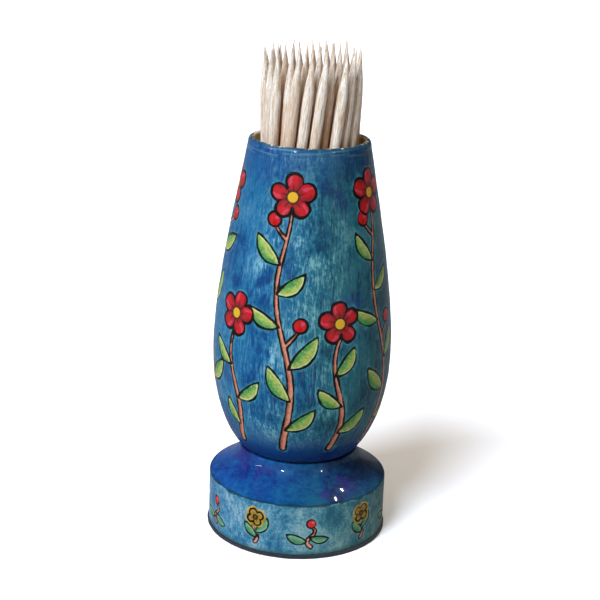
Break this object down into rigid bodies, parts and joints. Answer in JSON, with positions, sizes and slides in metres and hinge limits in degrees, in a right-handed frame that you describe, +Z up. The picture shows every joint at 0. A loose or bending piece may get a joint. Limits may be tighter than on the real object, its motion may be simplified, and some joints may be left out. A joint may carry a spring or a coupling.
{
  "type": "toothpick dispenser",
  "caption": "Turned, painted wooden vase that slides up a post in its round foot to hide or show a bundle of standing toothpicks.",
  "frame": {"origin": "centre of the felt pad's underside, where the dispenser stands on a table", "axes": "+Z up along the turning axis, from the foot to the toothpicks' points; -Y is the painted front"},
  "size_m": [0.0381, 0.038, 0.1025],
  "materials": {
    "painted_vase": "hand-painted blue, gloss lacquer",
    "painted_foot": "hand-painted blue, gloss lacquer",
    "bare_wood": "turned, unpainted",
    "pick_wood": "polished birch",
    "felt": "pressed wool felt",
    "screw_steel": "zinc plated",
    "ring_rubber": "matt"
  },
  "bodies": {
    "base": {"base_foot": "painted_foot", "base_pad": "felt", "post": "bare_wood", "foot_screw": "screw_steel", "tray": "bare_wood", "tray_screw": "screw_steel"},
    "ring": {"friction_ring": "ring_rubber"},
    "vase": {"vase": "painted_vase"},
    "pick_01": {"pick_01": "pick_wood"},
    "pick_02": {"pick_02": "pick_wood"},
    "pick_03": {"pick_03": "pick_wood"},
    "pick_04": {"pick_04": "pick_wood"},
    "pick_05": {"pick_05": "pick_wood"},
    "pick_06": {"pick_06": "pick_wood"},
    "pick_07": {"pick_07": "pick_wood"},
    "pick_08": {"pick_08": "pick_wood"},
    "pick_09": {"pick_09": "pick_wood"},
    "pick_10": {"pick_10": "pick_wood"},
    "pick_11": {"pick_11": "pick_wood"},
    "pick_12": {"pick_12": "pick_wood"},
    "pick_13": {"pick_13": "pick_wood"},
    "pick_14": {"pick_14": "pick_wood"},
    "pick_15": {"pick_15": "pick_wood"},
    "pick_16": {"pick_16": "pick_wood"},
    "pick_17": {"pick_17": "pick_wood"},
    "pick_18": {"pick_18": "pick_wood"},
    "pick_19": {"pick_19": "pick_wood"},
    "pick_20": {"pick_20": "pick_wood"},
    "pick_21": {"pick_21": "pick_wood"},
    "pick_22": {"pick_22": "pick_wood"},
    "pick_23": {"pick_23": "pick_wood"},
    "pick_24": {"pick_24": "pick_wood"},
    "pick_25": {"pick_25": "pick_wood"},
    "pick_26": {"pick_26": "pick_wood"},
    "pick_27": {"pick_27": "pick_wood"},
    "pick_28": {"pick_28": "pick_wood"},
    "pick_29": {"pick_29": "pick_wood"},
    "pick_30": {"pick_30": "pick_wood"},
    "pick_31": {"pick_31": "pick_wood"},
    "pick_32": {"pick_32": "pick_wood"},
    "pick_33": {"pick_33": "pick_wood"},
    "pick_34": {"pick_34": "pick_wood"},
    "pick_35": {"pick_35": "pick_wood"},
    "pick_36": {"pick_36": "pick_wood"},
    "pick_37": {"pick_37": "pick_wood"},
    "pick_38": {"pick_38": "pick_wood"},
    "pick_39": {"pick_39": "pick_wood"},
    "pick_40": {"pick_40": "pick_wood"},
    "pick_41": {"pick_41": "pick_wood"},
    "pick_42": {"pick_42": "pick_wood"},
    "pick_43": {"pick_43": "pick_wood"},
    "pick_44": {"pick_44": "pick_wood"},
    "pick_45": {"pick_45": "pick_wood"},
    "pick_46": {"pick_46": "pick_wood"},
    "pick_47": {"pick_47": "pick_wood"},
    "pick_48": {"pick_48": "pick_wood"}
  },
  "joints": [
    {"name": "body_lift", "type": "slide", "parent": "base", "child": "ring", "axis": [0, 0, 1], "range_m": [0, 0.02]},
    {"name": "body_spin", "type": "hinge", "parent": "ring", "child": "vase", "pos_m": [0, 0, 0], "axis": [0, 0, 1], "continuous": true},
    {"name": "pick_draw_01", "type": "slide", "parent": "base", "child": "pick_01", "axis": [0.1027, -0.0269, 0.9943], "range_m": [0, 0.048]},
    {"name": "pick_draw_02", "type": "slide", "parent": "base", "child": "pick_02", "axis": [0.0876, -0.0523, 0.9948], "range_m": [0, 0.048]},
    {"name": "pick_draw_03", "type": "slide", "parent": "base", "child": "pick_03", "axis": [0.0725, -0.0775, 0.9943], "range_m": [0, 0.048]},
    {"name": "pick_draw_04", "type": "slide", "parent": "base", "child": "pick_04", "axis": [0.1034, 0.024, 0.9943], "range_m": [0, 0.048]},
    {"name": "pick_draw_05", "type": "slide", "parent": "base", "child": "pick_05", "axis": [0.0885, -0.0012, 0.9961], "range_m": [0, 0.048]},
    {"name": "pick_draw_06", "type": "slide", "parent": "base", "child": "pick_06", "axis": [0.0734, -0.0266, 0.9969], "range_m": [0, 0.048]},
    {"name": "pick_draw_07", "type": "slide", "parent": "base", "child": "pick_07", "axis": [0.0583, -0.052, 0.9969], "range_m": [0, 0.048]},
    {"name": "pick_draw_08", "type": "slide", "parent": "base", "child": "pick_08", "axis": [0.0432, -0.0772, 0.9961], "range_m": [0, 0.048]},
    {"name": "pick_draw_09", "type": "slide", "parent": "base", "child": "pick_09", "axis": [0.0891, 0.0498, 0.9948], "range_m": [0, 0.048]},
    {"name": "pick_draw_10", "type": "slide", "parent": "base", "child": "pick_10", "axis": [0.028, -0.1024, 0.9943], "range_m": [0, 0.048]},
    {"name": "pick_draw_11", "type": "slide", "parent": "base", "child": "pick_11", "axis": [0.0742, 0.0245, 0.9969], "range_m": [0, 0.048]},
    {"name": "pick_draw_12", "type": "slide", "parent": "base", "child": "pick_12", "axis": [0.0591, -0.0008, 0.9983], "range_m": [0, 0.048]},
    {"name": "pick_draw_13", "type": "slide", "parent": "base", "child": "pick_13", "axis": [0.044, -0.0262, 0.9987], "range_m": [0, 0.048]},
    {"name": "pick_draw_14", "type": "slide", "parent": "base", "child": "pick_14", "axis": [0.0288, -0.0516, 0.9983], "range_m": [0, 0.048]},
    {"name": "pick_draw_15", "type": "slide", "parent": "base", "child": "pick_15", "axis": [0.0747, 0.0755, 0.9943], "range_m": [0, 0.048]},
    {"name": "pick_draw_16", "type": "slide", "parent": "base", "child": "pick_16", "axis": [0.0137, -0.0769, 0.9969], "range_m": [0, 0.048]},
    {"name": "pick_draw_17", "type": "slide", "parent": "base", "child": "pick_17", "axis": [0.0598, 0.0503, 0.9969], "range_m": [0, 0.048]},
    {"name": "pick_draw_18", "type": "slide", "parent": "base", "child": "pick_18", "axis": [-0.0014, -0.102, 0.9948], "range_m": [0, 0.048]},
    {"name": "pick_draw_19", "type": "slide", "parent": "base", "child": "pick_19", "axis": [0.0447, 0.025, 0.9987], "range_m": [0, 0.048]},
    {"name": "pick_draw_20", "type": "slide", "parent": "base", "child": "pick_20", "axis": [0.0296, -0.0004, 0.9996], "range_m": [0, 0.048]},
    {"name": "pick_draw_21", "type": "slide", "parent": "base", "child": "pick_21", "axis": [0.0144, -0.0258, 0.9996], "range_m": [0, 0.048]},
    {"name": "pick_draw_22", "type": "slide", "parent": "base", "child": "pick_22", "axis": [-0.0007, -0.0512, 0.9987], "range_m": [0, 0.048]},
    {"name": "pick_draw_23", "type": "slide", "parent": "base", "child": "pick_23", "axis": [0.0453, 0.076, 0.9961], "range_m": [0, 0.048]},
    {"name": "pick_draw_24", "type": "slide", "parent": "base", "child": "pick_24", "axis": [-0.0158, -0.0765, 0.9969], "range_m": [0, 0.048]},
    {"name": "pick_draw_25", "type": "slide", "parent": "base", "child": "pick_25", "axis": [0.0303, 0.0508, 0.9983], "range_m": [0, 0.048]},
    {"name": "pick_draw_26", "type": "slide", "parent": "base", "child": "pick_26", "axis": [-0.0309, -0.1016, 0.9943], "range_m": [0, 0.048]},
    {"name": "pick_draw_27", "type": "slide", "parent": "base", "child": "pick_27", "axis": [0.0152, 0.0254, 0.9996], "range_m": [0, 0.048]},
    {"name": "pick_draw_28", "type": "slide", "parent": "base", "child": "pick_28", "axis": [0, 0, 1], "range_m": [0, 0.048]},
    {"name": "pick_draw_29", "type": "slide", "parent": "base", "child": "pick_29", "axis": [-0.0152, -0.0254, 0.9996], "range_m": [0, 0.048]},
    {"name": "pick_draw_30", "type": "slide", "parent": "base", "child": "pick_30", "axis": [0.0309, 0.1016, 0.9943], "range_m": [0, 0.048]},
    {"name": "pick_draw_31", "type": "slide", "parent": "base", "child": "pick_31", "axis": [-0.0303, -0.0508, 0.9983], "range_m": [0, 0.048]},
    {"name": "pick_draw_32", "type": "slide", "parent": "base", "child": "pick_32", "axis": [0.0158, 0.0765, 0.9969], "range_m": [0, 0.048]},
    {"name": "pick_draw_33", "type": "slide", "parent": "base", "child": "pick_33", "axis": [-0.0453, -0.076, 0.9961], "range_m": [0, 0.048]},
    {"name": "pick_draw_34", "type": "slide", "parent": "base", "child": "pick_34", "axis": [0.0007, 0.0512, 0.9987], "range_m": [0, 0.048]},
    {"name": "pick_draw_35", "type": "slide", "parent": "base", "child": "pick_35", "axis": [-0.0144, 0.0258, 0.9996], "range_m": [0, 0.048]},
    {"name": "pick_draw_36", "type": "slide", "parent": "base", "child": "pick_36", "axis": [-0.0296, 0.0004, 0.9996], "range_m": [0, 0.048]},
    {"name": "pick_draw_37", "type": "slide", "parent": "base", "child": "pick_37", "axis": [-0.0447, -0.025, 0.9987], "range_m": [0, 0.048]},
    {"name": "pick_draw_38", "type": "slide", "parent": "base", "child": "pick_38", "axis": [0.0014, 0.102, 0.9948], "range_m": [0, 0.048]},
    {"name": "pick_draw_39", "type": "slide", "parent": "base", "child": "pick_39", "axis": [-0.0598, -0.0503, 0.9969], "range_m": [0, 0.048]},
    {"name": "pick_draw_40", "type": "slide", "parent": "base", "child": "pick_40", "axis": [-0.0137, 0.0769, 0.9969], "range_m": [0, 0.048]},
    {"name": "pick_draw_41", "type": "slide", "parent": "base", "child": "pick_41", "axis": [-0.0747, -0.0755, 0.9943], "range_m": [0, 0.048]},
    {"name": "pick_draw_42", "type": "slide", "parent": "base", "child": "pick_42", "axis": [-0.0288, 0.0516, 0.9983], "range_m": [0, 0.048]},
    {"name": "pick_draw_43", "type": "slide", "parent": "base", "child": "pick_43", "axis": [-0.044, 0.0262, 0.9987], "range_m": [0, 0.048]},
    {"name": "pick_draw_44", "type": "slide", "parent": "base", "child": "pick_44", "axis": [-0.0591, 0.0008, 0.9983], "range_m": [0, 0.048]},
    {"name": "pick_draw_45", "type": "slide", "parent": "base", "child": "pick_45", "axis": [-0.028, 0.1024, 0.9943], "range_m": [0, 0.048]},
    {"name": "pick_draw_46", "type": "slide", "parent": "base", "child": "pick_46", "axis": [-0.0891, -0.0498, 0.9948], "range_m": [0, 0.048]},
    {"name": "pick_draw_47", "type": "slide", "parent": "base", "child": "pick_47", "axis": [-0.0432, 0.0772, 0.9961], "range_m": [0, 0.048]},
    {"name": "pick_draw_48", "type": "slide", "parent": "base", "child": "pick_48", "axis": [-0.0725, 0.0775, 0.9943], "range_m": [0, 0.048]}
  ]
}
